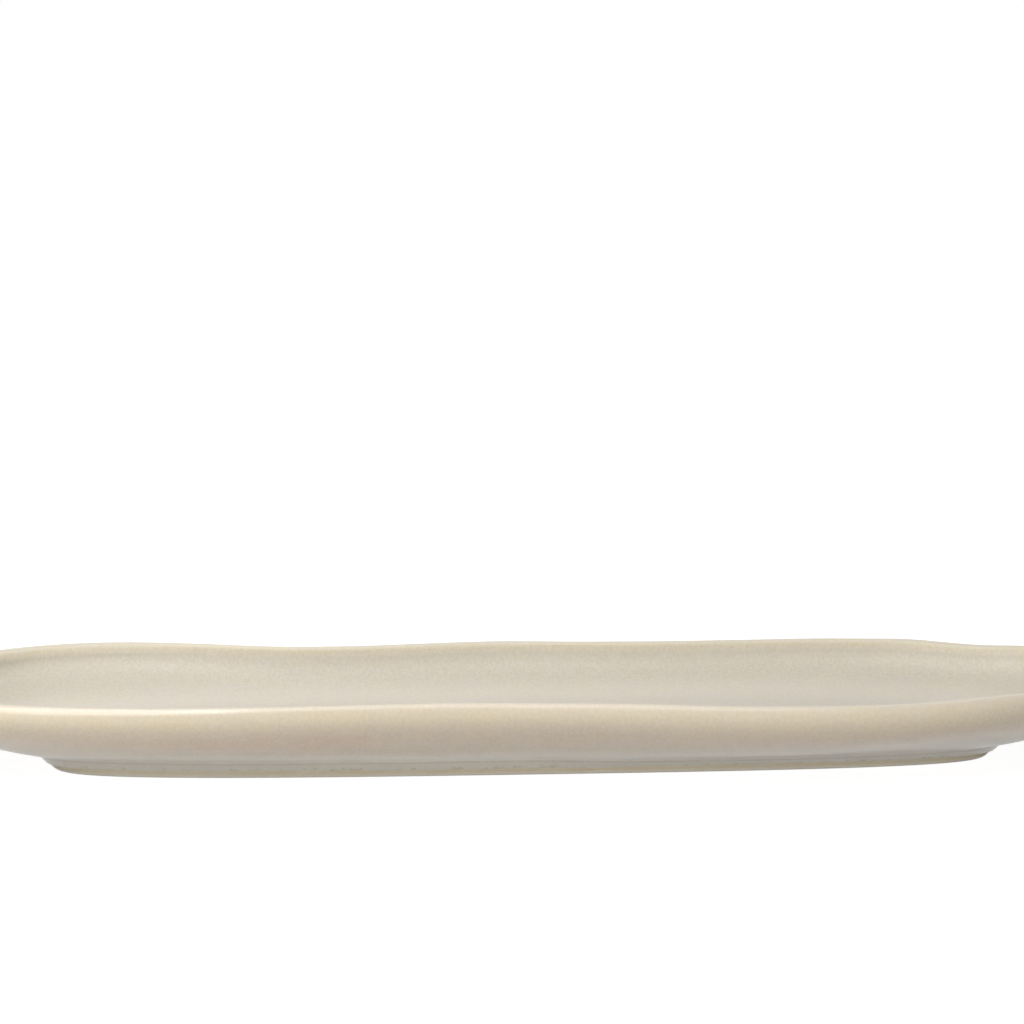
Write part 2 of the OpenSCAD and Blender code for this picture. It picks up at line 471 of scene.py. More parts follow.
class NodeSheet:
    """Short ways to add nodes and links to one node tree."""

    # A Mix node's sockets for colours go by number, because they share their names with others.
    BELOW, ABOVE, MIXED = 6, 7, 2

    def __init__(self, tree: bpy.types.NodeTree) -> None:
        """Keeps the tree that nodes are added to."""
        self.tree = tree

    def add(self, kind: str, inputs: Inputs | None = None, **settings: object) -> bpy.types.Node:
        """Adds a node.

        Args:
            kind: The node's type name without the ShaderNode start.
            inputs: What its inputs are fed with, by their names or numbers.
            settings: Properties of the node by name.

        Returns:
            The new node.
        """
        node = self.tree.nodes.new("ShaderNode" + kind if not kind.startswith("Node") else kind)
        for name, value in settings.items():
            setattr(node, name, value)
        for key, value in (inputs or {}).items():
            self.feed(node.inputs[key], value)
        return node

    def feed(self, socket: bpy.types.NodeSocket, value: object) -> None:
        """Links a socket to another, or sets it to a plain value.

        Args:
            socket: The input to feed.
            value: An output socket, or a number, vector or colour.
        """
        if isinstance(value, bpy.types.NodeSocket):
            self.tree.links.new(value, socket)
        else:
            socket.default_value = value

    def math(self, operation: str, *values: object, clamp: bool = False) -> bpy.types.NodeSocket:
        """Works out a sum with a Math node, kept between 0 and 1 if clamped."""
        return self.add("Math", dict(enumerate(values)), operation=operation, use_clamp=clamp).outputs[0]

    def fade(self, value: object, start: float, end: float) -> bpy.types.NodeSocket:
        """Maps a value to a smooth step from 0 at start to 1 at end."""
        ends = dict(enumerate((value, start, end, 0.0, 1.0)))
        return self.add("MapRange", ends, interpolation_type="SMOOTHSTEP").outputs[0]

    def band(self, value: object, start: float, end: float, soft: float) -> bpy.types.NodeSocket:
        """Masks a stretch of a value, with soft steps outside its ends."""
        rise, fall = self.fade(value, start - soft, start), self.fade(value, end + soft, end)
        return self.math("MULTIPLY", rise, fall)

    def mix(self, share: object, below: object, above: object, way: str = "MIX") -> bpy.types.NodeSocket:
        """Blends a share of the upper colour into the lower one."""
        inputs = {"Factor": share, self.BELOW: below, self.ABOVE: above}
        return self.add("Mix", inputs, data_type="RGBA", blend_type=way).outputs[self.MIXED]

    def noise(self, place: object, scale: object, octaves: Pair) -> bpy.types.NodeSocket:
        """Adds noise with cells for each metre, a number of octaves and a strength of the finer ones."""
        inputs = {"Vector": place, "Scale": scale, "Detail": octaves[0], "Roughness": octaves[1]}
        return self.add("TexNoise", inputs).outputs["Fac"]

    def axis(self, place: object, name: str) -> bpy.types.NodeSocket:
        """Takes the X, Y or Z of coordinates."""
        return self.add("SeparateXYZ", {"Vector": place}).outputs[name]


@dataclass
class SharedEffects:
    """Node groups that several finishes use, each built once."""

    grain_octaves: Pair = (2.0, 0.6)
    grain_step: Pair = (0.34, 0.66)
    cloud_octaves: Pair = (4.0, 0.55)
    cloud_step: Pair = (0.32, 0.68)
    speck_edge: Pair = (0.28, 0.12)
    speck_chance: Pair = (0.72, 0.98)
    pit_size: float = 0.74
    pit_edge: Pair = (0.0, 0.22)
    grain: bpy.types.NodeTree = field(init=False)
    pits: bpy.types.NodeTree = field(init=False)

    def __post_init__(self) -> None:
        """Builds the groups."""
        self.grain = self._grain()
        self.pits = self._pits()

    @staticmethod
    def _start(name: str, inputs: tuple[str, ...], outputs: tuple[str, ...]) -> tuple[
            bpy.types.NodeTree, NodeSheet, bpy.types.Node, bpy.types.Node]:
        """Starts a group with its sockets.

        Args:
            name: The group's name.
            inputs: Names of its plain values; coordinates come in besides, as Place.
            outputs: Names of its outputs, all plain values.

        Returns:
            The group, its sheet, and its input and output nodes.
        """
        tree = bpy.data.node_groups.new(name, "ShaderNodeTree")
        tree.interface.new_socket("Place", in_out="INPUT", socket_type="NodeSocketVector")
        for side, labels in (("INPUT", inputs), ("OUTPUT", outputs)):
            for label in labels:
                tree.interface.new_socket(label, in_out=side, socket_type="NodeSocketFloat")
        sheet = NodeSheet(tree)
        return tree, sheet, sheet.add("NodeGroupInput"), sheet.add("NodeGroupOutput")

    @staticmethod
    def _cells(sheet: NodeSheet, come: bpy.types.Node, scale: str) -> tuple[
            bpy.types.NodeSocket, bpy.types.NodeOutputs]:
        """Adds cells that hold one dot each.

        Args:
            sheet: The group's sheet.
            come: The group's input node.
            scale: Name of the input that sets the cells for each metre.

        Returns:
            The distance from the dot's middle, and the outputs with each cell's own chances.
        """
        cells = sheet.add("TexVoronoi", {"Vector": come.outputs["Place"], "Scale": come.outputs[scale]})
        chance = sheet.add("SeparateColor", {"Color": cells.outputs["Color"]})
        return cells.outputs["Distance"], chance.outputs

    def _grain(self) -> bpy.types.NodeTree:
        """Builds the fine grain, the slow clouds and the few dark specks of fired glaze or clay.

        Returns:
            The group.
        """
        layers = ("Grain", "Cloud", "Speck")
        tree, sheet, come, go = self._start("fired_grain", layers, layers)
        for name, octaves, step in (
                ("Grain", self.grain_octaves, self.grain_step),
                ("Cloud", self.cloud_octaves, self.cloud_step)):
            noise = sheet.noise(come.outputs["Place"], come.outputs[name], octaves)
            sheet.feed(go.inputs[name], sheet.fade(noise, *step))
        distance, chances = self._cells(sheet, come, "Speck")
        dot, rare = sheet.fade(distance, *self.speck_edge), sheet.fade(chances[0], *self.speck_chance)
        sheet.feed(go.inputs["Speck"], sheet.math("MULTIPLY", dot, rare))
        return tree

    def _pits(self) -> bpy.types.NodeTree:
        """Builds pinholes that gather where a guide value is high.

        Returns:
            The group.
        """
        tree, sheet, come, go = self._start("glaze_pits", ("Scale", "Guide"), ("Mask",))
        distance, chances = self._cells(sheet, come, "Scale")
        gap = sheet.math("SUBTRACT", sheet.math("MULTIPLY", chances[1], self.pit_size), distance)
        hole = sheet.fade(gap, *self.pit_edge)
        sheet.feed(go.inputs["Mask"], sheet.math("MULTIPLY", hole, come.outputs["Guide"]))
        return tree


@dataclass
class Dressing:
    """A material in the making: what places its marks, its grain, and its colour and height so far."""

    effects: SharedEffects
    sheet: NodeSheet
    shader: bpy.types.Node
    place: bpy.types.NodeSocket
    along: bpy.types.NodeSocket
    grain: bpy.types.Node
    colour: object
    height: object

    def shade(self, mask: object, low: object, high: object) -> None:
        """Lays a tone over the colour, low where the mask is 0 and high where it is 1."""
        tones = self.sheet.mix(mask, low, high)
        self.colour = self.sheet.mix(1.0, self.colour, tones, "OVERLAY")


@dataclass(frozen=True)
class Finish:
    """What every fired finish has: a name, grain sizes for each metre, a plain gloss and a glassy coat."""

    name: str
    grain: float
    cloud: float
    speck: float
    gloss: float
    bump: float
    coat: float = 0.0
    coat_gloss: float = 0.1
    grain_tones: Tones = (grey(0.465), grey(0.535))
    cloud_tones: Tones = (tone(0.5045, 0.500, 0.488), tone(0.496, 0.4995, 0.510))
    speck_tone: Colour = tone(0.44, 0.43, 0.43)

    def material(self, effects: SharedEffects) -> bpy.types.Material:
        """Builds the material: its grain, then what the finish lays over it, then its bump.

        Args:
            effects: The shared node groups.

        Returns:
            The finished material.
        """
        material = bpy.data.materials.new(self.name)
        material.use_nodes = True
        sheet = NodeSheet(material.node_tree)
        shader = material.node_tree.nodes["Principled BSDF"]
        sheet.feed(shader.inputs["Coat Roughness"], self.coat_gloss)
        place = sheet.add("TexCoord").outputs["Object"]
        along = sheet.add("Attribute", attribute_name=FROM_CREST).outputs["Fac"]
        layers = {"Place": place, "Grain": self.grain, "Cloud": self.cloud, "Speck": self.speck}
        grain = sheet.add("Group", layers, node_tree=effects.grain)
        dressing = Dressing(effects, sheet, shader, place, along, grain, MID_TONE, grain.outputs["Grain"])
        self.dress(dressing)
        relief = {"Strength": 1.0, "Distance": self.bump, "Height": dressing.height}
        sheet.feed(shader.inputs["Normal"], sheet.add("Bump", relief).outputs["Normal"])
        sheet.feed(shader.inputs["Base Color"], dressing.colour)
        return material

    def dress(self, dressing: Dressing) -> None:
        """Lays the finish's own looks over the grain; each kind of finish has its own."""

    def fire(self, dressing: Dressing) -> None:
        """Lays clouds, grain and specks over the colour.

        Args:
            dressing: The material in the making.
        """
        dressing.shade(dressing.grain.outputs["Cloud"], *self.cloud_tones)
        dressing.shade(dressing.grain.outputs["Grain"], *self.grain_tones)
        dressing.shade(dressing.grain.outputs["Speck"], MID_TONE, self.speck_tone)


@dataclass(frozen=True)
class BandedGlaze(Finish):
    """A satin glaze whose colour follows the section, with grain, clouds and specks fired into it."""

    bands: tuple[tuple[float, Colour], ...] = ()
    lip_from: Pair = (-0.0012, 0.0006)
    lip_gloss: float = 0.30
    dry: Pair = (0.008, 0.020)
    dry_gloss: float = 0.36
    dry_coat: float = 0.22
    cloud_gloss: float = 0.05
    wander: float = 0.002
    wander_scale: float = 45.0
    wander_octaves: Pair = (2.0, 0.5)
    still_crest: Pair = (0.003, 0.012)
    still_crease: Pair = (0.033, 0.027)

    def dress(self, dressing: Dressing) -> None:
        """Bands the glaze by its length from the crest, and marks and polishes it.

        Args:
            dressing: The material in the making.
        """
        dressing.along = self._wandering(dressing)
        dressing.colour = self._banded(dressing)
        self.fire(dressing)
        self.mark(dressing)
        self._polish(dressing)

    def _polish(self, dressing: Dressing) -> None:
        """Makes the lip's outer side glassy, and the coat drier below it and over the crest.

        Args:
            dressing: The material in the making.
        """
        sheet, inputs = dressing.sheet, dressing.shader.inputs
        dry, outer = (sheet.fade(dressing.along, *span) for span in (self.dry, self.lip_from))
        gloss = sheet.math("MULTIPLY_ADD", dry, self.dry_gloss - self.lip_gloss, self.lip_gloss)
        gloss = sheet.math("MULTIPLY_ADD", outer, sheet.math("SUBTRACT", gloss, self.gloss), self.gloss)
        dull = sheet.math("MULTIPLY_ADD", dressing.grain.outputs["Cloud"], self.cloud_gloss, gloss)
        sheet.feed(inputs["Roughness"], dull)
        if self.coat > 0.0:
            weight = sheet.math("MULTIPLY_ADD", dry, self.dry_coat - self.coat, self.coat)
            sheet.feed(inputs["Coat Weight"], sheet.math("MULTIPLY", weight, outer))

    def _wandering(self, dressing: Dressing) -> bpy.types.NodeSocket:
        """Gives the length from the crest a slow wander between the crest and the crease.

        Args:
            dressing: The material in the making.

        Returns:
            The length's socket.
        """
        sheet, along = dressing.sheet, dressing.along
        slow = sheet.noise(dressing.place, self.wander_scale, self.wander_octaves)
        shift = sheet.math("MULTIPLY_ADD", slow, self.wander, -self.wander / 2)
        away = sheet.fade(sheet.math("ABSOLUTE", along), *self.still_crest)
        above = sheet.fade(along, *self.still_crease)
        return sheet.math("MULTIPLY_ADD", shift, sheet.math("MULTIPLY", away, above), along)

    def _banded(self, dressing: Dressing) -> object:
        """Gives the bands' colour at a length from the crest; one band colours all of the coat.

        Args:
            dressing: The material in the making.

        Returns:
            The colour, or its socket.
        """
        if len(self.bands) == 1:
            return self.bands[0][1]
        sheet = dressing.sheet
        first, last = self.bands[0][0], self.bands[-1][0]
        ramp = sheet.add("ValToRGB")
        stops = ramp.color_ramp
        stops.interpolation = "CARDINAL"
        while len(stops.elements) < len(self.bands):
            stops.elements.new(1.0)
        for element, (length, colour) in zip(stops.elements, self.bands):
            element.position = (length - first) / (last - first)
            element.color = colour
        past = sheet.math("SUBTRACT", dressing.along, first)
        sheet.feed(ramp.inputs["Fac"], sheet.math("DIVIDE", past, last - first, clamp=True))
        return ramp.outputs["Color"]

    def mark(self, dressing: Dressing) -> None:
        """Adds marks of its own to the glaze; a plain coat has none."""


@dataclass(frozen=True)
class DippedGlaze(BandedGlaze):
    """The outside coat: it ran a little when dipped; its pinholes near the lower edge carry painted shade.
    """

    run_tones: Tones = (tone(0.490, 0.489, 0.488), tone(0.510, 0.511, 0.512))
    run_on: Pair = (0.006, 0.014)
    run_scale: float = 260.0
    run_stretch: Triple = (1.0, 1.0, 0.15)
    run_octaves: Pair = (3.0, 0.6)
    run_step: Pair = (0.32, 0.68)
    blush: Triple = (0.0135, 0.0165, 0.003)
    blush_turn: Pair = (21.0, 3.57)
    blush_tone: Colour = tone(0.498, 0.472, 0.464)
    blush_scale: float = 60.0
    blush_octaves: Pair = (2.0, 0.5)
    blush_breakup: float = 1.2
    blush_step: Pair = (1.05, 1.70)
    pit_scale: float = 620.0
    pit_on: Pair = (0.0374, 0.0384)
    # Painted shade: the pinholes are darkened to stand for the shadow under the glaze's rolled edge.
    pit_shade_tone: Colour = tone(0.31, 0.31, 0.30)
    pit_depth: float = 4.0

    def mark(self, dressing: Dressing) -> None:
        """Adds the runs down the wall, its rosy patches, and pinholes near the glaze line in painted shade.

        Args:
            dressing: The material in the making.
        """
        sheet, place, along = dressing.sheet, dressing.place, dressing.along
        stretch = sheet.add("Mapping", {"Vector": place, "Scale": self.run_stretch})
        runs = sheet.noise(stretch.outputs["Vector"], self.run_scale, self.run_octaves)
        on_wall = sheet.fade(along, *self.run_on)
        low, high = (sheet.mix(on_wall, MID_TONE, shade) for shade in self.run_tones)
        dressing.shade(sheet.fade(runs, *self.run_step), low, high)
        blush = sheet.math("MULTIPLY", self._patches(sheet, place), sheet.band(along, *self.blush))
        dressing.shade(blush, MID_TONE, self.blush_tone)
        holes = {"Place": place, "Scale": self.pit_scale, "Guide": sheet.fade(along, *self.pit_on)}
        pits = sheet.add("Group", holes, node_tree=dressing.effects.pits).outputs["Mask"]
        # The pinholes' dark tone is painted shade under the rolled edge; their dent is a real bump.
        dressing.shade(pits, MID_TONE, self.pit_shade_tone)
        depth = sheet.math("MULTIPLY", pits, self.pit_depth)
        dressing.height = sheet.math("SUBTRACT", dressing.height, depth)

    def _patches(self, sheet: NodeSheet, place: object) -> bpy.types.NodeSocket:
        """Masks the patches that blushed in the kiln: a slow sine wave along the plate, broken up by noise.

        Args:
            sheet: The material's sheet.
            place: The coordinates' socket.

        Returns:
            The mask's socket.
        """
        wave = sheet.math("SINE", sheet.math("MULTIPLY_ADD", sheet.axis(place, "X"), *self.blush_turn))
        noise = sheet.noise(place, self.blush_scale, self.blush_octaves)
        return sheet.fade(sheet.math("MULTIPLY_ADD", noise, self.blush_breakup, wave), *self.blush_step)


@dataclass(frozen=True)
class BareClay(Finish):
    """Fired clay without glaze: dry, sandy and specked, and paler near the table as painted bounce light.
    """

    grain_tones: Tones = (tone(0.47, 0.465, 0.46), grey(0.53))
    cloud_tones: Tones = (tone(0.455, 0.455, 0.440), tone(0.535, 0.522, 0.512))
    speck_tone: Colour = tone(0.36, 0.33, 0.31)
    colour: Colour = MID_TONE
    # Painted bounce light: the clay is drawn paler over its lowest two millimetres, towards the table.
    painted_bounce_colour: Colour = MID_TONE
    painted_bounce: Pair = (0.0019, 0.0007)

    def dress(self, dressing: Dressing) -> None:
        """Colours the clay, paler towards the table as painted bounce light, and leaves it dull.

        Args:
            dressing: The material in the making.
        """
        sheet = dressing.sheet
        # Painted bounce light from the table: the clay pales towards its standing edge.
        painted_bounce = sheet.fade(sheet.axis(dressing.place, "Z"), *self.painted_bounce)
        dressing.colour = sheet.mix(painted_bounce, self.colour, self.painted_bounce_colour)
        self.fire(dressing)
        sheet.feed(dressing.shader.inputs["Roughness"], self.gloss)


INSIDE_GLAZE = BandedGlaze(
    name="inside_glaze", grain=950.0, cloud=120.0, speck=900.0, gloss=0.58, bump=0.00001,
    bands=(
        (-0.0480, srgb(207, 199, 187)),
        (-0.0340, srgb(216, 208, 195)),
        (-0.0240, srgb(213, 205, 191)),
        (-0.0140, srgb(202, 195, 180)),
        (-0.0076, srgb(210, 203, 188)),
        (-0.0052, srgb(216, 209, 194)),
        (-0.0042, srgb(215, 207, 190)),
        (-0.0033, srgb(211, 201, 180)),
        (-0.0027, srgb(210, 200, 177)),
        (-0.0022, srgb(213, 204, 182)),
    ))

OUTSIDE_GLAZE = DippedGlaze(
    name="outside_glaze", grain=900.0, cloud=100.0, speck=900.0, gloss=0.55, bump=0.000008, coat=0.6,
    coat_gloss=0.16, grain_tones=(grey(0.478), grey(0.522)),
    bands=(
        (-0.0022, srgb(213, 204, 182)),
        (-0.0014, srgb(216, 207, 188)),
        (0.0010, srgb(211, 199, 179)),
        (0.0050, srgb(210, 197, 172)),
        (0.0100, srgb(193, 179, 158)),
        (0.0160, srgb(189, 176, 159)),
        (0.0240, srgb(194, 184, 168)),
        # Painted light: the wall is drawn lighter towards the crease, nearly white at 0.0342, against the
        # shade that falls there.
        (0.0310, srgb(214, 207, 195)),
        (0.0342, srgb(246, 240, 229)),
        (0.0351, srgb(221, 213, 200)),
        # Darker just below the crease: partly pooled glaze, partly painted shade in the crease.
        (0.0356, srgb(203, 196, 184)),
        (0.0364, srgb(213, 207, 195)),
        (0.0390, srgb(220, 215, 203)),
    ))

UNDERSIDE_GLAZE = BandedGlaze(
    name="underside_glaze", grain=750.0, cloud=90.0, speck=800.0, gloss=0.45, bump=0.00001,
    bands=((0.0, srgb(208, 200, 185)),))

CLAY = BareClay(
    name="bare_clay", grain=1700.0, cloud=70.0, speck=800.0, gloss=0.85, bump=0.00005,
    # The paler colour at the standing edge is painted bounce light.
    colour=srgb(238, 227, 204), painted_bounce_colour=srgb(255, 249, 237))


@dataclass(frozen=True)
class Detail:
    """Number of levels on each stretch of the skins."""

    wall: int = 44
    inner_wall: int = 40
    clay_wall: int = 12
    clay_inner_wall: int = 14
    disc: int = 30
    rolled_edge: int = 7
    glazed_flank: int = 9
    fillet: int = 6
    stand_edge: int = 9
    bare_flank: int = 8
    hollow_side: int = 6
    land: int = 5


@dataclass(frozen=True)
class Plate:
    """The plate itself: clay body, foot ring and three coats, each a piece that stands for its solid."""

    form: PlateForm = PlateForm()
    section: Section = Section(PlateForm())
    detail: Detail = Detail()

    def _glaze_line(self) -> np.ndarray:
        """Height of the outside coat's edge at each station: level, but for small waves and beads.

        Returns:
            Heights as (stations,).
        """
        turn = 2.0 * np.pi * self.form.turns
        waver = sum(share * np.sin(count * turn + phase) for share, count, phase in LINE_WAVES)
        beads = np.prod([np.sin(count * turn + phase) for count, phase in LINE_BEADS], axis=0)
        return self.form.glaze_line + self.form.line_waver * waver + self.form.line_beading * beads

    def _flank(self, height: np.ndarray) -> np.ndarray:
        """Finished flank of the foot at given heights, as insets and heights."""
        f = self.form
        return np.stack([f.side_overhang + f.flank_run * (1.0 - height / f.foot_height), height], axis=-1)

    def _flank_axes(self) -> tuple[np.ndarray, np.ndarray]:
        """Directions down the foot's flank and out of it, as insets and heights.

        Returns:
            Two unit vectors.
        """
        f = self.form
        run, rise = np.array([f.flank_run, f.foot_height]) / math.hypot(f.flank_run, f.foot_height)
        return np.array([run, -rise]), np.array([-rise, -run])

    def inside_glaze(self) -> Skin:
        """Inside coat: from the clay side of the floor out and up to the seam, and back over the glaze.

        Returns:
            The coat.
        """
        form, section, detail = self.form, self.section, self.detail
        top_levels = section.inside(detail.inner_wall)
        top = form.rows(top_levels)
        top = np.concatenate([top, form.disc(top[-1], detail.disc)])
        top[1:] = form.hand_ripple(top)[1:]
        low = form.rows(section.behind(section.inside(detail.clay_inner_wall), form.glaze)[::-1])
        whole = np.concatenate([section.outside(detail.inner_wall)[:-1], top_levels])
        lengths = section.from_crest(whole)[-len(top_levels):]
        floor = np.full(len(top) - len(top_levels), lengths[-1])
        marks = np.concatenate([np.full(len(low), lengths[-1]), lengths, floor])[:, None]
        return Skin("plate_inside_glaze", np.concatenate([low, top]), marks, Topology.BALL)

    def outside_glaze(self) -> Skin:
        """Outside coat: a rolled edge on the foot, the flank, the wall and the lip over to the seam.

        Returns:
            The coat.
        """
        form, section, detail = self.form, self.section, self.detail
        down, out = self._flank_axes()
        line = self._glaze_line()
        clay_at_line = self._flank(line) - out * form.glaze
        roll = arc(detail.rolled_edge)[::-1][:, None, None]
        edge = clay_at_line + form.glaze * (down * form.edge_roll * np.sin(roll) + out * np.cos(roll))
        share = np.linspace(0.0, 1.0, detail.glazed_flank)[1:-1, None]
        flank = self._flank(line + (form.foot_height - line) * share)
        upper = np.repeat(section.outside(detail.wall)[:, None, :], form.stations, axis=1)
        crease = len(edge) + len(flank)
        levels = self._filleted(self._pooled(np.concatenate([edge, flank, upper]), crease), crease)
        rows = form.hand_ripple(form.rows(levels))
        rows[-1] = form.rows(levels[-1:])[0]
        rows[:len(edge)] = form.rows(levels[:len(edge)])
        behind = np.concatenate([form.rows(self._clay_outside()[::-1]), form.rows(clay_at_line[None])])
        lengths = section.from_crest(levels[:, 0, :])
        marks = np.concatenate([lengths, np.full(len(behind), lengths[0])])[:, None]
        return Skin("plate_outside_glaze", np.concatenate([rows, behind]), marks, Topology.TYRE)

    def _clay_outside(self) -> np.ndarray:
        """Clay's own wall and lip behind the outside coat, from the crease to the seam."""
        return self.section.behind(self.section.outside(self.detail.clay_wall), self.form.glaze)

    def _pooled(self, levels: np.ndarray, crease: int) -> np.ndarray:
        """Lowers the crease where glaze pooled in it, by a raised cosine that fades out up the wall.

        Args:
            levels: Levels as (levels, stations, 2).
            crease: Number of the level that lies on the crease.

        Returns:
            The lowered levels.
        """
        form = self.form
        rise = levels[..., 1] - levels[crease, :, 1]
        down = levels[crease, :, 1] - form.glaze_line
        near = np.where(rise > 0.0, 1.0 - rise / form.pool_rise, 1.0 + rise / down)
        pool = GLAZE_POOL.lift * GLAZE_POOL.strength(form.turns) * smooth_step(near)
        return np.stack([levels[..., 0], levels[..., 1] + pool], axis=-1)

    def _filleted(self, levels: np.ndarray, crease: int) -> np.ndarray:
        """Replaces the sharp crease with a small curve, as pooled glaze fills it.

        Args:
            levels: Levels as (levels, stations, 2).
            crease: Number of the level that lies on the crease.

        Returns:
            The levels with the crease's one drawn out into a curve.
        """
        fillet = self.form.crease_fillet
        corner = levels[crease]
        start, end = (
            corner + way / np.linalg.norm(way, axis=-1, keepdims=True) * fillet
            for way in (levels[crease - 1] - corner, levels[crease + 1] - corner))
        curve = bend(start, corner, end, self.detail.fillet)
        return np.concatenate([levels[:crease], curve, levels[crease + 1:]])

    def _stand_corner(self) -> float:
        """Inset of the corner at which the foot's bare flank would meet the table."""
        clay = self._flank(np.array(self.form.glaze_line)) - self._flank_axes()[1] * self.form.glaze
        return clay[0] + clay[1] * self.form.flank_run / self.form.foot_height

    def _hollow(self) -> Pair:
        """Inset of the hollow's edge and height of its clay ceiling."""
        f = self.form
        return self._stand_corner() + f.stand_width + f.inner_flank_run, f.hollow_height + f.glaze

    def foot_ring(self) -> Skin:
        """Foot ring: its rounded outer edge, the flank, the seat, its inner side and its underside.

        Returns:
            The ring.
        """
        form, detail = self.form, self.detail
        down = self._flank_axes()[0]
        seat = self._clay_outside()[0]
        corner = np.array([self._stand_corner(), 0.0])
        start = corner + np.array([form.stand_rounding, 0.0])
        end = corner - down / abs(down[1]) * form.stand_rounding
        curve = bend(start, corner, end, detail.stand_edge)
        flank = np.linspace(curve[-1], seat, detail.bare_flank)[1:]
        hollow, ceiling = self._hollow()
        inside = np.array([[hollow, seat[1]], [hollow, ceiling]])
        foot = np.array([corner[0] + form.stand_width, 0.0])
        slant = np.linspace(inside[-1], foot, detail.hollow_side)[1:]
        land = np.linspace(foot, start, detail.land)[1:-1]
        rows = form.rows(np.concatenate([curve, flank, inside, slant, land]))
        return Skin("plate_foot_ring", rows, np.zeros((len(rows), 1)), Topology.TYRE)

    def stoneware_body(self) -> Skin:
        """Clay body: the rebate for the foot ring, the wall and rim behind the coats, and the floor.

        Returns:
            The body.
        """
        hollow, ceiling = self._hollow()
        outer = self._clay_outside()
        inner = self.section.behind(self.section.inside(self.detail.clay_inner_wall), self.form.glaze)
        rebate = [[hollow, ceiling], [hollow, outer[0, 1]]]
        rows = self.form.rows(np.concatenate([rebate, outer, inner[1:]]))
        return Skin("plate_stoneware_body", rows, np.zeros((len(rows), 1)), Topology.BALL)

    def underside_glaze(self) -> Skin:
        """Coat on the hollow's ceiling, with its edge against the foot ring's inner side.

        Returns:
            The coat.
        """
        form = self.form
        hollow, ceiling = self._hollow()
        edge = hollow - form.inner_flank_run * form.glaze / ceiling
        rows = form.rows(np.array([[edge, form.hollow_height], [hollow, ceiling]]))
        low = np.concatenate([form.disc(rows[0], self.detail.disc)[::-1], rows[:1]])
        low[:-1] = form.hand_ripple(low)[:-1]
        skin = np.concatenate([low, rows[1:]])
        return Skin("plate_underside_glaze", skin, np.zeros((len(skin), 1)), Topology.BALL)

    def build(self, effects: SharedEffects) -> None:
        """Builds and dresses every piece, and lets each stand for its solid.

        Args:
            effects: The shared node groups.
        """
        clay = CLAY.material(effects)
        inside, outside = INSIDE_GLAZE.material(effects), OUTSIDE_GLAZE.material(effects)
        underside = UNDERSIDE_GLAZE.material(effects)
        made = (
            (self.stoneware_body(), clay, "stoneware_body", "clay"),
            (self.foot_ring(), clay, "foot_ring", "clay"),
            (self.inside_glaze(), inside, "inside_glaze", "inside_glaze"),
            (self.outside_glaze(), outside, "outside_glaze", "outside_glaze"),
            (self.underside_glaze(), underside, "underside_glaze", "underside_glaze"),
        )
        for skin, material, node, slot in made:
            piece = skin.build()
            piece.data.materials.append(material)
            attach(piece, BODY)
            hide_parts(node)
            log.info("%s: %d faces", piece.name, len(piece.data.polygons))


@dataclass(frozen=True)
class Lamp:
    """A rectangular soft lamp, and whether the glaze mirrors it."""

    name: str
    place: Triple
    aim: Triple
    width: float
    depth: float
    power: float
    mirrored: bool = True

    def build(self) -> None:
        """Adds the lamp to the scene."""
        data = bpy.data.lights.new(self.name, "AREA")
        data.shape = "RECTANGLE"
        data.size, data.size_y = self.width, self.depth
        data.energy = self.power
        lamp = bpy.data.objects.new(self.name, data)
        lamp.location = self.place
        lamp.visible_camera = False
        lamp.visible_glossy = self.mirrored
        lamp.rotation_mode = "QUATERNION"
        lamp.rotation_quaternion = (Vector(self.aim) - Vector(self.place)).to_track_quat("-Z", "Y")
        bpy.context.scene.collection.objects.link(lamp)


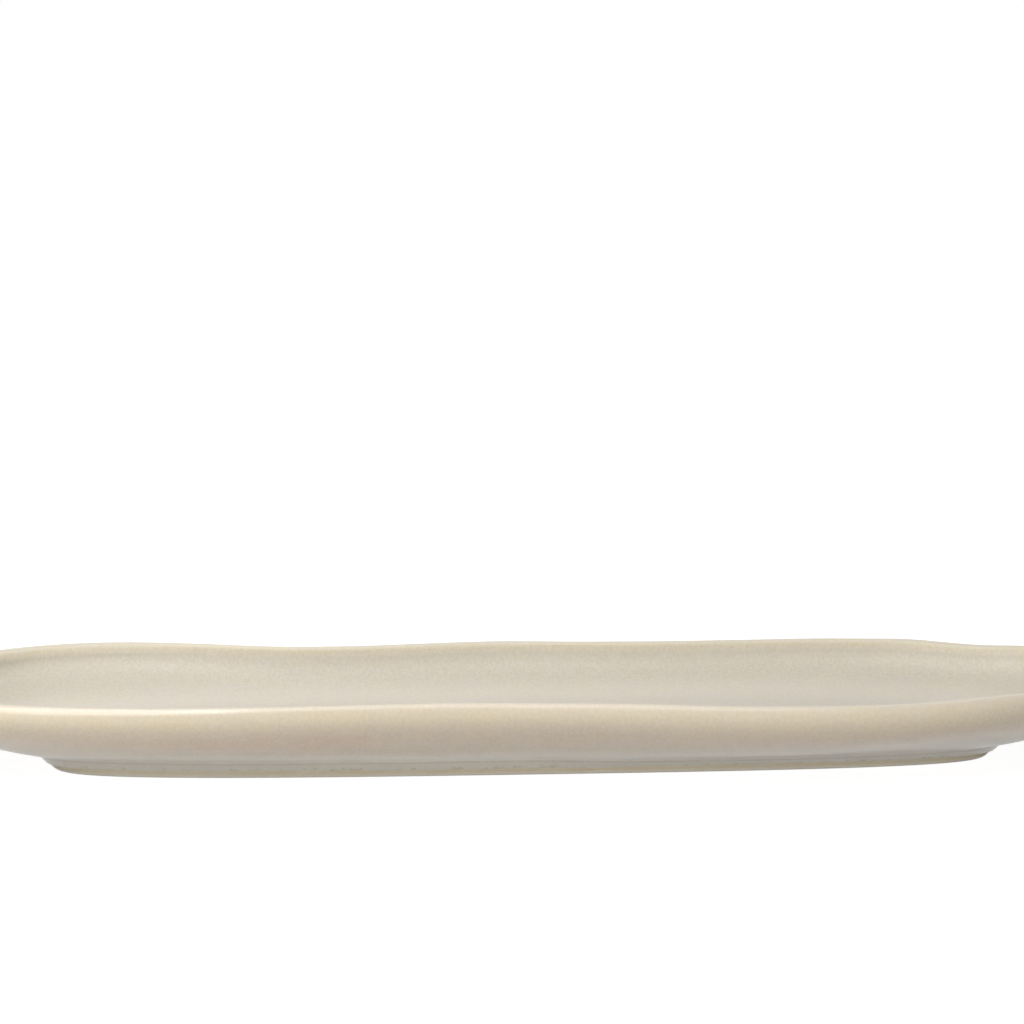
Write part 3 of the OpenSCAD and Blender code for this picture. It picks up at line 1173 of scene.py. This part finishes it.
@dataclass(frozen=True)
class Studio:
    """White studio: floor, surroundings, lamps and a camera at the photograph's place."""

    azimuth: float = math.radians(-4.6)
    elevation: float = math.radians(8.92)
    distance: float = 1.4
    focal_px: float = 4000.0
    target_px: Pair = (514.5, 710.2)
    target_height: float = 0.014
    sensor: float = 36.0
    clip: Pair = (0.05, 50.0)
    floor_half: float = 1.5
    floor_drop: float = 0.0001
    floor_tone: float = 0.72
    floor_seen_tone: float = 0.30
    floor_seen_glow: float = 0.925
    sky_light: float = 0.20
    lamps: tuple[Lamp, ...] = (
        Lamp("left_softbox", (-0.5675, -0.33, 1.0), (-0.5675, -0.33, 0.0), 0.765, 1.40, 10.8),
        Lamp("strip_softbox", (-0.155, -0.45, 1.0), (-0.155, -0.45, 0.0), 0.06, 0.80, 2.0),
        Lamp("top_softbox", (0.0625, -0.24, 1.0), (0.0625, -0.24, 0.0), 0.375, 0.70, 1.1),
        Lamp("front_card", (-0.20, -0.9, 0.09), (0.0, 0.0, 0.02), 1.7, 0.14, 3.4, mirrored=False),
        Lamp("back_card", (0.10, 0.9, 0.09), (0.0, 0.0, 0.02), 1.7, 0.14, 2.4, mirrored=False),
    )

    @staticmethod
    def _seen(sheet: NodeSheet) -> bpy.types.NodeSocket:
        """Mask of rays that show the surroundings: from the camera, in reflections and through glass.

        Args:
            sheet: The sheet that it is for.

        Returns:
            The mask's socket.
        """
        rays = sheet.add("LightPath").outputs
        seen = sheet.math("MAXIMUM", rays["Is Camera Ray"], rays["Is Glossy Ray"])
        return sheet.math("MAXIMUM", seen, rays["Is Transmission Ray"])

    def _floor(self) -> None:
        """Adds a white floor that keeps the plate's shadow."""
        half, low = self.floor_half, -self.floor_drop
        corners = [(-half, -half, low), (half, -half, low), (half, half, low), (-half, half, low)]
        mesh = bpy.data.meshes.new("studio_floor")
        mesh.from_pydata(corners, [], [(0, 1, 2, 3)])
        material = bpy.data.materials.new("studio_floor")
        material.use_nodes = True
        material.node_tree.nodes.clear()
        sheet = NodeSheet(material.node_tree)
        matt = sheet.add("BsdfDiffuse", {"Color": grey(self.floor_tone)})
        shown = sheet.add("BsdfDiffuse", {"Color": grey(self.floor_seen_tone)})
        glow = sheet.add("Emission", {"Strength": self.floor_seen_glow})
        both = sheet.add("AddShader", {0: shown.outputs[0], 1: glow.outputs[0]})
        choice = sheet.add("MixShader", {0: self._seen(sheet), 1: matt.outputs[0], 2: both.outputs[0]})
        sheet.add("OutputMaterial", {"Surface": choice.outputs[0]})
        floor = bpy.data.objects.new("studio_floor", mesh)
        mesh.materials.append(material)
        bpy.context.scene.collection.objects.link(floor)

    def _sky(self) -> None:
        """Makes the surroundings white to look at and softer as a light."""
        world = bpy.data.worlds.new("studio_white")
        world.use_nodes = True
        sheet = NodeSheet(world.node_tree)
        strength = sheet.math("MULTIPLY_ADD", self._seen(sheet), 1.0 - self.sky_light, self.sky_light)
        back = world.node_tree.nodes["Background"]
        sheet.feed(back.inputs["Color"], grey(1.0))
        sheet.feed(back.inputs["Strength"], strength)
        bpy.context.scene.world = world

    def _camera(self, middle: np.ndarray) -> None:
        """Places the camera so that the plate's middle lands on its pixel.

        Args:
            middle: Offset of the outline's own centre from the origin.
        """
        half = IMAGE_SIDE / 2
        tilt = self.elevation - math.atan((self.target_px[1] - half) / self.focal_px)
        swing = self.azimuth + math.atan((self.target_px[0] - half) / self.focal_px)
        back = Vector((
            math.sin(self.azimuth) * math.cos(self.elevation),
            -math.cos(self.azimuth) * math.cos(self.elevation), math.sin(self.elevation)))
        ahead = Vector((
            -math.sin(swing) * math.cos(tilt), math.cos(swing) * math.cos(tilt), -math.sin(tilt)))
        target = Vector((-middle[0], -middle[1], self.target_height))
        data = bpy.data.cameras.new("photo_camera")
        data.sensor_width = self.sensor
        data.lens = self.sensor * self.focal_px / IMAGE_SIDE
        data.clip_start, data.clip_end = self.clip
        camera = bpy.data.objects.new("photo_camera", data)
        camera.matrix_world = Matrix.Translation(target + back * self.distance) @ (
            ahead.to_track_quat("-Z", "Y").to_matrix().to_4x4())
        bpy.context.scene.collection.objects.link(camera)
        bpy.context.scene.camera = camera

    def build(self, middle: np.ndarray) -> None:
        """Builds the studio.

        Args:
            middle: Offset of the outline's own centre from the origin.
        """
        self._floor()
        self._sky()
        for lamp in self.lamps:
            lamp.build()
        self._camera(middle)
        bpy.context.scene.view_settings.view_transform = "Standard"


def main() -> None:
    """Builds the plate and the studio round it."""
    logging.basicConfig(level=logging.INFO, format="%(name)s: %(message)s")
    effects = SharedEffects()
    plate = Plate()
    plate.build(effects)
    Studio().build(plate.form.middle())


if __name__ == "__main__":
    main()
